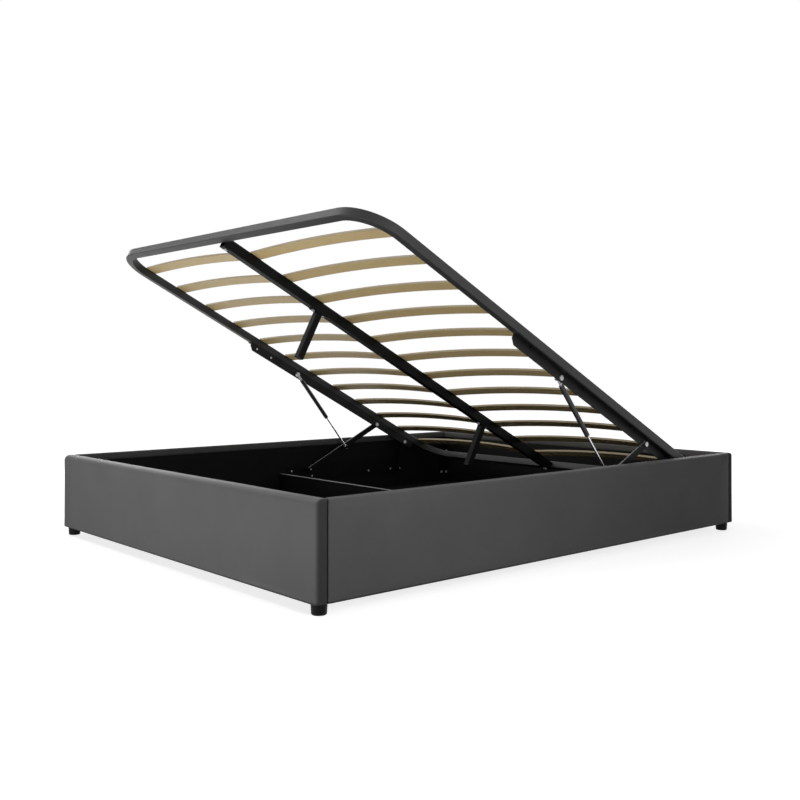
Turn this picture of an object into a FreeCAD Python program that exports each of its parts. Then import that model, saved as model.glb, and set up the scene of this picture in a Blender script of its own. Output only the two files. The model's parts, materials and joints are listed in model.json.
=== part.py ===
import FreeCAD, Part
import cmath
import math
import os
import Sketcher

# Ottoman bed base for a 160 x 200 cm mattress: upholstered box, storage floor and a
# slatted platform that swings up at the foot end on arms, links and gas struts.
# X is the width, +Y points to the head end, Z is up, and the origin is on the floor
# under the middle. The platform is built at its open pose.

SIZES = {
    # box of padded panels
    "bed_width": 1680.0,
    "bed_length": 2076.0,
    "panel_height": 284.0,
    "foot_panel_thickness": 41.0,
    "head_panel_thickness": 28.0,
    "side_rail_thickness": 24.0,
    "panel_board": 18.0,
    "side_board": 14.0,
    "cover_top": 9.0,
    "cover_return": 3.0,
    "cover_return_depth": 30.0,
    "cover_under": 2.0,
    "cover_end": 10.0,
    "face_crown": 2.0,
    "foot_panel_round": 14.0,
    "head_panel_round": 12.0,
    "side_rail_round": 10.0,
    # feet
    "glide_height": 30.0,
    "glide_radius": 23.0,
    "glide_base_radius": 21.5,
    "glide_chamfer": 2.5,
    "glide_inset": 33.0,
    # storage floor
    "floor_thickness": 6.0,
    "floor_gap": 0.5,
    "cleat_width": 18.0,
    "cleat_height": 16.0,
    "batten_width": 40.0,
    "batten_foot_radius": 20.0,
    "divider_thickness": 15.0,
    "divider_height": 135.0,
    "divider_from_head": 1040.0,
    # corner brackets and fasteners
    "bracket_leg": 42.0,
    "bracket_thickness": 3.0,
    "bracket_height": 170.0,
    "bracket_lift": 70.0,
    "bolt_margin": 30.0,
    "bolt_head_radius": 7.5,
    "bolt_head": 4.0,
    # lift mechanism on the side rails
    "lift_angle": 27.4,
    "plate_thickness": 3.0,
    "plate_edge": 17.0,
    "plate_lead": 110.0,
    "plate_tail": 32.0,
    "arm_pivot_from_head": 895.0,
    "arm_pivot_height": 177.0,
    "link_pivot_from_head": 345.0,
    "link_pivot_height": 144.0,
    "boss_radius": 11.0,
    "bar_width": 25.0,
    "bar_thickness": 5.0,
    "pivot_radius": 5.0,
    "pivot_head_radius": 9.0,
    "pivot_head": 4.0,
    "running_play": 0.05,
    "side_play": 0.5,
    "pivot_gap": 1.0,
    "open_pivot_gap": 0.3,
    # gas struts
    "strut_stud_distance": 218.0,
    "stud_radius": 4.0,
    "stud_head_radius": 6.5,
    "strut_inset": 14.0,
    "strut_radius": 9.0,
    "strut_bore": 7.0,
    "strut_cylinder_length": 262.0,
    "strut_gland": 12.0,
    "strut_plug": 10.0,
    "strut_end_length": 34.0,
    "strut_neck_radius": 4.5,
    "rod_radius": 4.0,
    "rod_overlap": 32.0,
    "piston_play": 0.1,
    "eye_radius": 9.5,
    "eye_thickness": 10.0,
    # platform
    "platform_recess": 24.0,
    "platform_end_gap": 11.0,
    "platform_side_gap": 8.0,
    "tube_size": 30.0,
    "tube_wall": 1.5,
    "tube_round": 3.0,
    "bend_radius": 135.0,
    "sleeve_length": 80.0,
    "sleeve_wall": 2.0,
    "beam_drop": 8.0,
    "beam_height": 36.0,
    "beam_width": 30.0,
    "leg_size": 25.0,
    "leg_clearance": 3.0,
    "leg_from_foot": 490.0,
    "leg_from_head": 515.0,
    "leg_plate_length": 70.0,
    "leg_plate": 3.0,
    "leg_cap_sole": 8.0,
    "leg_cap_plug": 15.0,
    "beam_bolt_from_end": 48.0,
    # lift rails
    "rail_flange": 30.0,
    "rail_web": 33.0,
    "rail_thickness": 3.0,
    "rail_chamfer": 18.0,
    "web_bolt_drop": 46.0,
    "first_web_bolt": 37.0,
    "second_web_bolt": 121.0,
    "rail_lead": 278.0,
    "rail_tail": 54.0,
    "pin_drop": 50.0,
    "front_pin_from_head": 445.0,
    "rear_pin_from_head": 239.0,
    "strut_pin_from_head": 990.0,
    # slats
    "slat_width": 44.0,
    "slat_thickness": 8.0,
    "slat_rise": 16.0,
    "first_slat_from_foot": 157.0,
    "last_slat_from_head": 131.0,
    "slat_end_margin": 18.0,
    "slat_mid_gap": 4.0,
    # spare length of every cutting tool
    "overrun": 5.0,
}
SLAT_ROWS = 12
PLATE_SCREW_SHARES = ((0.036, 0.66), (0.204, 0.22), (0.702, 0.22), (0.907, 0.22))
RAIL_BOLT_SHARES = (0.08, 0.36, 0.64, 0.90)

doc = FreeCAD.newDocument("OttomanBed")
sheet = doc.addObject("Spreadsheet::Sheet", "Sizes")


class Size:
    """A length with its value and the sheet expression that it comes from."""

    def __init__(self, value, text):
        self.value = value
        self.text = text

    def __add__(self, other):
        return Size(self.value + number(other), "(%s + %s)" % (self.text, text_of(other)))

    def __sub__(self, other):
        return Size(self.value - number(other), "(%s - %s)" % (self.text, text_of(other)))

    def __mul__(self, factor):
        return Size(self.value * number(factor), "(%s * %s)" % (self.text, text_of(factor)))

    def __truediv__(self, divisor):
        return Size(self.value / number(divisor), "(%s / %s)" % (self.text, text_of(divisor)))

    def __neg__(self):
        return self * -1


def number(length):
    return length.value if isinstance(length, Size) else float(length)


def text_of(length):
    return length.text if isinstance(length, Size) else repr(float(length))


def cell(name, value):
    """Writes a plain number to the sheet under its name and returns it as a Size."""
    cell.row += 1
    sheet.set("A%d" % cell.row, name)
    sheet.set("B%d" % cell.row, str(value))
    sheet.setAlias("B%d" % cell.row, name)
    return Size(value, "Sizes." + name)


cell.row = 0
S = {name: cell(name, value) for name, value in SIZES.items()}
doc.recompute()

# Levels and faces that many pieces share
ZERO = S["bed_width"] * 0
HALF_WIDTH = S["bed_width"] / 2
PANEL_BOTTOM = S["glide_height"]
RIM = S["glide_height"] + S["panel_height"]
FOOT_FACE = S["foot_panel_thickness"] - S["bed_length"] / 2
HEAD_FACE = S["bed_length"] / 2 - S["head_panel_thickness"]
SIDE_FACE = HALF_WIDTH - S["side_rail_thickness"]
FLOOR_UNDER = PANEL_BOTTOM + S["cleat_height"]
FLOOR_TOP = FLOOR_UNDER + S["floor_thickness"]
DIVIDER_MID = HEAD_FACE - S["divider_from_head"]
DIVIDER_FOOT_SIDE = DIVIDER_MID - S["divider_thickness"] / 2
DIVIDER_HEAD_SIDE = DIVIDER_MID + S["divider_thickness"] / 2

# The platform's own axes: X as the bed's, Y from its foot edge to the head, Z up from its top
PLATFORM_HALF = SIDE_FACE - S["platform_side_gap"]
PLATFORM_LENGTH = HEAD_FACE - FOOT_FACE - S["platform_end_gap"] * 2
PLATFORM_TOP = RIM - S["platform_recess"]
TUBE_FACE = PLATFORM_HALF - S["tube_size"]
TUBE_UNDER = -S["tube_size"]
BEAM_UNDER = -S["beam_drop"] - S["beam_height"]
LEG_END = FLOOR_TOP + S["leg_clearance"] - PLATFORM_TOP
SLAT_X = (S["slat_mid_gap"] / 2, PLATFORM_HALF - S["slat_end_margin"])

# Across the mechanism, from the lift rail's web out to the base plate
WEB_OUTER = TUBE_FACE + S["rail_thickness"]
ARM_INNER = WEB_OUTER + S["pivot_gap"]
ARM_OUTER = ARM_INNER + S["bar_thickness"]
PLATE_FACE = SIDE_FACE - S["plate_thickness"]
STRUT_X = TUBE_FACE - S["strut_inset"]

# Pivots, with Y and Z as the parts of one complex number
ARM_PIVOT = (HEAD_FACE - S["arm_pivot_from_head"], S["arm_pivot_height"])
LINK_PIVOT = (HEAD_FACE - S["link_pivot_from_head"], S["link_pivot_height"])
FRONT_PIN = (PLATFORM_LENGTH - S["front_pin_from_head"], -S["pin_drop"])
REAR_PIN = (PLATFORM_LENGTH - S["rear_pin_from_head"], -S["pin_drop"])
STRUT_PIN = (PLATFORM_LENGTH - S["strut_pin_from_head"], -S["pin_drop"])


def point(pair):
    return complex(number(pair[0]), number(pair[1]))


def upper_meeting(centre_a, radius_a, centre_b, radius_b):
    """The higher of the two points where two circles meet."""
    apart = abs(centre_b - centre_a)
    along = (radius_a ** 2 - radius_b ** 2 + apart ** 2) / (2 * apart)
    across = math.sqrt(radius_a ** 2 - along ** 2)
    unit = (centre_b - centre_a) / apart
    ends = [centre_a + unit * complex(along, side * across) for side in (1, -1)]
    return max(ends, key=lambda end: end.imag)


# Lift linkage: bar lengths come from the closed platform, then the open pose from the lift angle
closed_edge = complex(number(FOOT_FACE + S["platform_end_gap"]), number(PLATFORM_TOP))
arm_closed = closed_edge + point(FRONT_PIN) - point(ARM_PIVOT)
link_closed = closed_edge + point(REAR_PIN) - point(LINK_PIVOT)
lift_turn = cmath.exp(complex(0, -math.radians(SIZES["lift_angle"])))
pin_step = lift_turn * (point(FRONT_PIN) - point(REAR_PIN))
rear_open = upper_meeting(
    point(LINK_PIVOT), abs(link_closed), point(ARM_PIVOT) - pin_step, abs(arm_closed)
)
arm_open = rear_open + pin_step - point(ARM_PIVOT)
link_open = rear_open - point(LINK_PIVOT)
open_edge = rear_open - lift_turn * point(REAR_PIN)
stud_share = SIZES["strut_stud_distance"] / abs(arm_closed)
stud_open = point(ARM_PIVOT) + arm_open * stud_share
stud_closed = point(ARM_PIVOT) + arm_closed * stud_share
strut_open = open_edge + lift_turn * point(STRUT_PIN) - stud_open
strut_closed = closed_edge + point(STRUT_PIN) - stud_closed

ARM_LENGTH = cell("arm_length", abs(arm_closed))
LINK_LENGTH = cell("link_length", abs(link_closed))
STRUT_LENGTH = cell("strut_length", abs(strut_open))
doc.recompute()


def pose(place, direction):
    """Placement that turns a piece's Y axis to a direction and moves its origin to a place."""
    turn = FreeCAD.Rotation(FreeCAD.Vector(1, 0, 0), math.degrees(cmath.phase(direction)))
    return FreeCAD.Placement(FreeCAD.Vector(0, place.real, place.imag), turn)


PLATFORM_POSE = pose(open_edge, lift_turn)
ARM_POSE = pose(point(ARM_PIVOT), arm_open)
LINK_POSE = pose(point(LINK_PIVOT), link_open)
STRUT_POSE = pose(stud_open, strut_open)
nodes = []


def node(piece, placement=None):
    """Marks a finished sub-part, named by its Label, and gives it its pose."""
    if placement is not None:
        piece.Placement = placement
    nodes.append(piece)
    return piece


def place(piece, corner):
    for axis, length in zip("xyz", corner):
        piece.setExpression("Placement.Base." + axis, text_of(length))


def box(label, span_x, span_y, span_z):
    """A block between low and high faces along each axis."""
    piece = doc.addObject("Part::Box", label)
    for side, (low, high) in zip(("Length", "Width", "Height"), (span_x, span_y, span_z)):
        piece.setExpression(side, text_of(high - low))
    place(piece, (span_x[0], span_y[0], span_z[0]))
    return piece


def rod(label, axis, span, at, radius):
    """A round bar along x, y or z between two ends; at holds its other two coordinates."""
    turns = {"x": ((0, 1, 0), 90), "y": ((1, 0, 0), -90), "z": ((0, 0, 1), 0)}
    direction, degrees = turns[axis]
    piece = doc.addObject("Part::Cylinder", label)
    piece.Placement.Rotation = FreeCAD.Rotation(FreeCAD.Vector(*direction), degrees)
    piece.setExpression("Radius", text_of(radius))
    piece.setExpression("Height", text_of(span[1] - span[0]))
    corner = list(at)
    corner.insert("xyz".index(axis), span[0])
    place(piece, corner)
    return piece


def group(label, pieces):
    """Separate solids under one name."""
    bundle = doc.addObject("Part::Compound", label)
    bundle.Links = list(pieces)
    return bundle


def fuse(label, pieces):
    joined = doc.addObject("Part::MultiFuse", label)
    joined.Shapes = list(pieces)
    return joined


def cut(label, base, tools):
    rest = doc.addObject("Part::Cut", label)
    rest.Base = base
    rest.Tool = tools[0] if len(tools) == 1 else group(label + "_tools", tools)
    return rest


def mirrored(label, piece):
    """The left-hand twin of a right-hand piece."""
    twin = doc.addObject("Part::Mirroring", label)
    twin.Source = piece
    twin.Normal = FreeCAD.Vector(1, 0, 0)
    return twin


def both_sides(label, piece):
    return group(label, [piece, mirrored(label + "_mirror", piece)])


def arc_edge(start, end, radius, turns_left):
    """Minor arc between two points; turns_left bends it to the left of the way along it."""
    half = (end - start) / 2
    reach = math.sqrt(max(radius ** 2 - abs(half) ** 2, 0.0))
    side = complex(0, 1) if turns_left else complex(0, -1)
    centre = start + half + half / abs(half) * side * reach
    circle = Part.Circle(FreeCAD.Vector(centre.real, centre.imag, 0), FreeCAD.Vector(0, 0, 1), radius)
    first, last = (start, end) if turns_left else (end, start)
    return Part.ArcOfCircle(circle, cmath.phase(first - centre), cmath.phase(last - centre))


def draw(sketch, corners, arcs, closed=True):
    """Draws an outline in a sketch, with every corner and arc radius tied to the sheet.

    arcs maps the number of an edge to its radius and whether it bends to the left.
    """
    count = len(corners)
    edges = count if closed else count - 1
    ends = []
    for index in range(edges):
        start = point(corners[index])
        end = point(corners[(index + 1) % count])
        if index in arcs:
            radius, turns_left = arcs[index]
            sketch.addGeometry(arc_edge(start, end, number(radius), turns_left))
            ends.append((1, 2) if turns_left else (2, 1))
            tie(sketch, Sketcher.Constraint("Radius", index, number(radius)), radius)
        else:
            low = FreeCAD.Vector(start.real, start.imag, 0)
            high = FreeCAD.Vector(end.real, end.imag, 0)
            sketch.addGeometry(Part.LineSegment(low, high))
            ends.append((1, 2))
    for index in range(count):
        edge, side = (index, 0) if index < edges else (edges - 1, 1)
        for axis, length in zip(("DistanceX", "DistanceY"), corners[index]):
            tie(sketch, Sketcher.Constraint(axis, -1, 1, edge, ends[edge][side], number(length)), length)
        if index < edges and (closed or index > 0):
            before = (index - 1) % edges
            meet = Sketcher.Constraint("Coincident", before, ends[before][1], index, ends[index][0])
            sketch.addConstraint(meet)


def tie(sketch, constraint, length):
    row = sketch.addConstraint(constraint)
    sketch.setExpression("Constraints[%d]" % row, text_of(length))


def pad(label, plane, corners, span, arcs=None):
    """A body padded from an outline between two levels along the plane's normal.

    The outline lies in the bed's own X, Y, Z directions. The XZ plane's normal points to -Y,
    so there the pad starts from the high level.
    """
    body = doc.addObject("PartDesign::Body", label)
    sketch = body.newObject("Sketcher::SketchObject", label + "_sketch")
    origin = [item for item in body.Origin.OriginFeatures if item.Role == plane + "_Plane"]
    sketch.AttachmentSupport = [(origin[0], "")]
    sketch.MapMode = "FlatFace"
    level = -span[1] if plane == "XZ" else span[0]
    sketch.setExpression("AttachmentOffset.Base.z", text_of(level))
    draw(sketch, corners, arcs or {})
    feature = body.newObject("PartDesign::Pad", label + "_pad")
    feature.Profile = sketch
    feature.setExpression("Length", text_of(span[1] - span[0]))
    doc.recompute()
    return body


def rounded(body, radius, chosen):
    """Fillets the edges of a body that a test picks by their end points."""
    block = body.Tip
    names = [
        "Edge%d" % (index + 1)
        for index, edge in enumerate(block.Shape.Edges)
        if chosen([vertex.Point for vertex in edge.Vertexes])
    ]
    fillet = body.newObject("PartDesign::Fillet", body.Label + "_round")
    fillet.Base = (block, names)
    fillet.setExpression("Radius", text_of(radius))
    doc.recompute()
    return body


def near(value, length):
    return abs(value - number(length)) < number(S["running_play"])


def arc_radius(chord, rise):
    """Radius of a shallow arc from its chord and rise."""
    return (chord * chord / 4 + rise * rise) / (rise * 2)


# Padded panels


def panel(name, inner, outward, thickness, round_radius):
    """Foot or head panel: a board in a padded cover that wraps its outer face, top and ends."""
    outer = inner + thickness * outward
    edge = outer - S["face_crown"] * outward
    crown = arc_radius(S["panel_height"], S["face_crown"])
    corners = [(inner, PANEL_BOTTOM), (edge, PANEL_BOTTOM), (edge, RIM), (inner, RIM)]
    if outward < 0:
        corners = [corners[1], corners[0], corners[3], corners[2]]
    arc = 3 if outward < 0 else 1
    padding = pad(name + "_padding", "YZ", corners, (-HALF_WIDTH, HALF_WIDTH), {arc: (crown, True)})

    def top_or_outer_corner(ends):
        top = all(near(end.z, RIM) for end in ends)
        upright = all(near(end.y, edge) for end in ends) and near(abs(ends[0].x - ends[1].x), ZERO)
        return top or upright

    rounded(padding, round_radius, top_or_outer_corner)
    back = inner + S["panel_board"] * outward
    lip = inner + S["cover_return"] * outward
    half = HALF_WIDTH - S["cover_end"]
    span_z = (PANEL_BOTTOM + S["cover_under"], RIM - S["cover_top"])
    board = box(name + "_board", (-half, half), ordered(inner, back), span_z)
    lip_z = (RIM - S["cover_return_depth"], RIM)
    rabbet = box(name + "_rabbet", (-half, half), ordered(inner, lip), lip_z)
    core = node(cut(name + "_core", board, [rabbet]))
    node(cut(name + "_cover", padding, [core]))


def ordered(one, other):
    return (one, other) if number(one) < number(other) else (other, one)


def side_rail():
    """Right side rail: a board in a padded cover, butted between the foot and head panels."""
    edge = HALF_WIDTH - S["face_crown"]
    crown = arc_radius(S["panel_height"], S["face_crown"])
    corners = [(SIDE_FACE, PANEL_BOTTOM), (edge, PANEL_BOTTOM), (edge, RIM), (SIDE_FACE, RIM)]
    span_y = (FOOT_FACE, HEAD_FACE)
    padding = pad("side_rail_padding", "XZ", corners, span_y, {1: (crown, True)})

    def top_edges(ends):
        along = not near(abs(ends[0].y - ends[1].y), ZERO)
        return along and all(near(end.z, RIM) for end in ends)

    rounded(padding, S["side_rail_round"], top_edges)
    back = SIDE_FACE + S["side_board"]
    span_z = (PANEL_BOTTOM + S["cover_under"], RIM - S["cover_top"])
    board = box("side_rail_board", (SIDE_FACE, back), span_y, span_z)
    lip_z = (RIM - S["cover_return_depth"], RIM)
    rabbet = box("side_rail_rabbet", (SIDE_FACE, SIDE_FACE + S["cover_return"]), span_y, lip_z)
    core = node(cut("side_rail_core_right", board, [rabbet]))
    node(mirrored("side_rail_core_left", core))
    cover = node(cut("side_rail_cover_right", padding, [core]))
    node(mirrored("side_rail_cover_left", cover))


# Fasteners


def hex_head(label, axis, seat, inward, at):
    """A hexagon bolt head on a seat, standing out of it along an axis in the inward direction."""
    turns = {"x": ((0, 1, 0), 90), "y": ((1, 0, 0), -90), "z": ((0, 0, 1), 0)}
    direction, degrees = turns[axis]
    head = doc.addObject("Part::Prism", label)
    head.Polygon = 6
    head.Placement.Rotation = FreeCAD.Rotation(FreeCAD.Vector(*direction), degrees)
    head.setExpression("Circumradius", text_of(S["bolt_head_radius"]))
    head.setExpression("Height", text_of(S["bolt_head"]))
    corner = list(at)
    corner.insert("xyz".index(axis), ordered(seat, seat + S["bolt_head"] * inward)[0])
    place(head, corner)
    return head


def corner_hardware():
    """Steel angles in the four inner corners, each with two bolts in either leg."""
    angles = []
    bolts = []
    low = S["bracket_lift"]
    span_z = (low, low + S["bracket_height"])
    deep = S["bracket_thickness"]
    middle = S["bracket_leg"] / 2 + deep / 2
    levels = (("low", low + S["bolt_margin"]), ("high", span_z[1] - S["bolt_margin"]))
    for end, face, inward in (("foot", FOOT_FACE, 1), ("head", HEAD_FACE, -1)):
        reach = face + S["bracket_leg"] * inward
        along = box("bracket_side_" + end, (SIDE_FACE - deep, SIDE_FACE), ordered(face, reach), span_z)
        across_x = (SIDE_FACE - S["bracket_leg"], SIDE_FACE)
        across = box("bracket_end_" + end, across_x, ordered(face, face + deep * inward), span_z)
        angles.append(fuse("bracket_" + end, [along, across]))
        for level, z in levels:
            name = "corner_bolt_%s_%s" % (end, level)
            side_at = (face + middle * inward, z)
            bolts.append(hex_head(name + "_side", "x", SIDE_FACE - deep, -1, side_at))
            end_at = (SIDE_FACE - middle, z)
            bolts.append(hex_head(name + "_end", "y", face + deep * inward, inward, end_at))
    node(both_sides("corner_brackets", group("brackets_right", angles)))
    node(both_sides("corner_bolts", group("corner_bolts_right", bolts)))


# Storage floor and feet


def storage_floor():
    """Two floor boards on side cleats and centre battens, either side of the divider."""
    gap = S["floor_gap"]
    bays = (
        ("foot", FOOT_FACE, DIVIDER_FOOT_SIDE),
        ("head", DIVIDER_HEAD_SIDE, HEAD_FACE),
    )
    cleats = []
    battens = []
    side = SIDE_FACE - gap
    for end, low, high in bays:
        span_y = (low + gap, high - gap)
        node(box("floor_board_" + end, (-side, side), span_y, (FLOOR_UNDER, FLOOR_TOP)))
        span_z = (PANEL_BOTTOM, FLOOR_UNDER)
        cleats.append(box("cleat_" + end, (SIDE_FACE - S["cleat_width"], SIDE_FACE), span_y, span_z))
        half = S["batten_width"] / 2
        battens.append(box("batten_" + end, (-half, half), (low, high), span_z))
    node(both_sides("floor_cleats", group("cleats_right", cleats)))
    node(group("floor_battens", battens))
    edge_y = FOOT_FACE + S["platform_end_gap"]
    leg_y = (edge_y + S["leg_from_foot"], edge_y + PLATFORM_LENGTH - S["leg_from_head"])
    under = [
        rod("batten_foot_%d" % index, "z", (ZERO, PANEL_BOTTOM), (ZERO, y), S["batten_foot_radius"])
        for index, y in enumerate(leg_y)
    ]
    node(group("batten_feet", under))
    span_y = (DIVIDER_FOOT_SIDE, DIVIDER_HEAD_SIDE)
    span_z = (PANEL_BOTTOM, PANEL_BOTTOM + S["divider_height"])
    node(box("divider_board", (-SIDE_FACE, SIDE_FACE), span_y, span_z))


def glides():
    """Four round plastic feet, tapered a little and chamfered at the floor."""
    base = S["glide_base_radius"]
    outline = [
        (ZERO, ZERO),
        (base - S["glide_chamfer"], ZERO),
        (base, S["glide_chamfer"]),
        (S["glide_radius"], S["glide_height"]),
        (ZERO, S["glide_height"]),
    ]
    out_x = HALF_WIDTH - S["glide_inset"]
    out_y = S["bed_length"] / 2 - S["glide_inset"]
    for end, y in (("foot", -out_y), ("head", out_y)):
        for side, x in (("right", out_x), ("left", -out_x)):
            body = doc.addObject("PartDesign::Body", "glide_%s_%s" % (end, side))
            sketch = body.newObject("Sketcher::SketchObject", body.Label + "_sketch")
            origin = {item.Role: item for item in body.Origin.OriginFeatures}
            sketch.AttachmentSupport = [(origin["XZ_Plane"], "")]
            sketch.MapMode = "FlatFace"
            draw(sketch, outline, {})
            turn = body.newObject("PartDesign::Revolution", body.Label + "_turn")
            turn.Profile = sketch
            turn.ReferenceAxis = (sketch, ["V_Axis"])
            turn.Angle = 360
            place(body, (x, y, ZERO))
            node(body)


# Lift mechanism


def base_plate():
    """Right base plate on the side rail, with bosses that hold the bars in line with the lift rail."""
    start = ARM_PIVOT[0] - S["plate_lead"]
    stop = LINK_PIVOT[0] + S["plate_tail"]
    low = LINK_PIVOT[1] - S["plate_edge"]
    high = ARM_PIVOT[1] + S["plate_edge"]
    corners = [(start, low), (stop, low), (stop, high), (start, high)]
    sheet_metal = pad("base_plate_sheet", "YZ", corners, (PLATE_FACE, SIDE_FACE))

    def upright_ends(ends):
        return all(near(end.y, ends[0].y) and near(end.z, ends[0].z) for end in ends)

    rounded(sheet_metal, S["plate_edge"], upright_ends)
    boss_x = (ARM_OUTER + S["side_play"], PLATE_FACE)
    pivots = (("arm", ARM_PIVOT), ("link", LINK_PIVOT))
    bosses = [rod("boss_" + name, "x", boss_x, at, S["boss_radius"]) for name, at in pivots]
    head_x = (ARM_INNER - S["side_play"] - S["pivot_head"], ARM_INNER - S["side_play"])
    pins = []
    bores = []
    for name, at in pivots:
        head = rod("pivot_head_" + name, "x", head_x, at, S["pivot_head_radius"])
        shank = rod("pivot_shank_" + name, "x", (head_x[1], SIDE_FACE), at, S["pivot_radius"])
        pins.append(fuse("pivot_pin_" + name, [head, shank]))
        bores.append(shank)
    screws = []
    for index, (along, up) in enumerate(PLATE_SCREW_SHARES):
        at = (start + (stop - start) * along, low + (high - low) * up)
        screws.append(hex_head("plate_screw_%d" % index, "x", PLATE_FACE, -1, at))
    plate = cut("base_plate_right", fuse("base_plate_blank", [sheet_metal] + bosses), bores)
    node(plate)
    node(mirrored("base_plate_left", plate))
    node(both_sides("base_pivot_pins", group("pivot_pins_right", pins)))
    node(both_sides("plate_screws", group("plate_screws_right", screws)))


def flat_bar(label, length):
    """A flat bar with round ends, from its first pivot at the origin along Y."""
    half = S["bar_width"] / 2
    span_x = (ARM_INNER, ARM_OUTER)
    straight = box(label + "_straight", span_x, (ZERO, length), (-half, half))
    ends = [
        rod("%s_end_%d" % (label, index), "x", span_x, (y, ZERO), half)
        for index, y in enumerate((ZERO, length))
    ]
    return [straight] + ends


def bar_hole(label, y):
    over = S["overrun"]
    span_x = (ARM_INNER - over, ARM_OUTER + over)
    return rod(label, "x", span_x, (y, ZERO), S["pivot_radius"] + S["running_play"])


def front_arm():
    """Right front arm with the fixed stud that carries the gas strut's rod."""
    at = (S["strut_stud_distance"], ZERO)
    eye_end = STRUT_X - S["eye_thickness"] / 2 - S["side_play"]
    stud = rod("arm_stud", "x", (eye_end, ARM_OUTER), at, S["stud_radius"])
    cap_x = (eye_end - S["bolt_head"], eye_end)
    cap = rod("arm_stud_cap", "x", cap_x, at, S["stud_head_radius"])
    rivet_x = (ARM_OUTER, ARM_OUTER + S["bolt_head"])
    rivet = rod("arm_stud_rivet", "x", rivet_x, at, S["stud_head_radius"])
    blank = fuse("front_arm_blank", flat_bar("front_arm", ARM_LENGTH) + [stud, cap, rivet])
    holes = [bar_hole("arm_pivot_hole", ZERO), bar_hole("arm_pin_hole", ARM_LENGTH)]
    arm = node(cut("front_arm_right", blank, holes), ARM_POSE)
    node(mirrored("front_arm_left", arm))


def rear_link():
    """Right rear link. Its rivet stops just short of the lift rail: this pivot is the open one."""
    at = (LINK_LENGTH, ZERO)
    rivet_x = (WEB_OUTER + S["open_pivot_gap"], ARM_OUTER + S["bolt_head"])
    shank = rod("link_rivet", "x", (rivet_x[0], ARM_OUTER), at, S["pivot_radius"])
    head = rod("link_rivet_head", "x", (ARM_OUTER, rivet_x[1]), at, S["pivot_head_radius"])
    blank = fuse("rear_link_blank", flat_bar("rear_link", LINK_LENGTH) + [shank, head])
    link = node(cut("rear_link_right", blank, [bar_hole("link_pivot_hole", ZERO)]), LINK_POSE)
    node(mirrored("rear_link_left", link))


def gas_strut():
    """Right gas strut, along Y from the arm's stud to its pin on the lift rail."""
    over = S["overrun"]
    axis = (STRUT_X, ZERO)
    eye_x = (STRUT_X - S["eye_thickness"] / 2, STRUT_X + S["eye_thickness"] / 2)
    mouth = STRUT_LENGTH - S["strut_cylinder_length"]
    tip = mouth + S["rod_overlap"]
    bar = rod("strut_bar", "y", (S["stud_radius"], tip), axis, S["rod_radius"])
    piston_y = (tip - S["strut_gland"], tip)
    piston = rod("strut_piston", "y", piston_y, axis, S["strut_bore"] - S["piston_play"])
    eye = rod("rod_eye", "x", eye_x, (ZERO, ZERO), S["eye_radius"])
    hole_x = (eye_x[0] - over, eye_x[1] + over)
    hole = rod("rod_eye_hole", "x", hole_x, (ZERO, ZERO), S["stud_radius"] + S["running_play"])
    blank = fuse("strut_rod_blank", [bar, piston, eye])
    strut_rod = node(cut("strut_rod_right", blank, [hole]), STRUT_POSE)
    node(mirrored("strut_rod_left", strut_rod))
    crown = STRUT_LENGTH - S["strut_end_length"]
    casing = rod("strut_casing", "y", (mouth, crown), axis, S["strut_radius"])
    bore_y = (mouth + S["strut_gland"], crown - S["strut_plug"])
    bore = rod("strut_bore_space", "y", bore_y, axis, S["strut_bore"])
    gland_y = (mouth - over, bore_y[0] + over)
    gland = rod("strut_gland_hole", "y", gland_y, axis, S["rod_radius"] + S["running_play"])
    cylinder = node(cut("strut_cylinder_right", casing, [bore, gland]), STRUT_POSE)
    node(mirrored("strut_cylinder_left", cylinder))
    neck = rod("strut_neck", "y", (crown, STRUT_LENGTH), axis, S["strut_neck_radius"])
    top_eye = rod("strut_top_eye", "x", eye_x, (STRUT_LENGTH, ZERO), S["eye_radius"])
    pin_x = (eye_x[0] - S["side_play"], TUBE_FACE - S["open_pivot_gap"])
    pin = rod("strut_top_pin", "x", pin_x, (STRUT_LENGTH, ZERO), S["pivot_radius"])
    fitting = node(fuse("strut_end_right", [neck, top_eye, pin]), STRUT_POSE)
    node(mirrored("strut_end_left", fitting))


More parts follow.
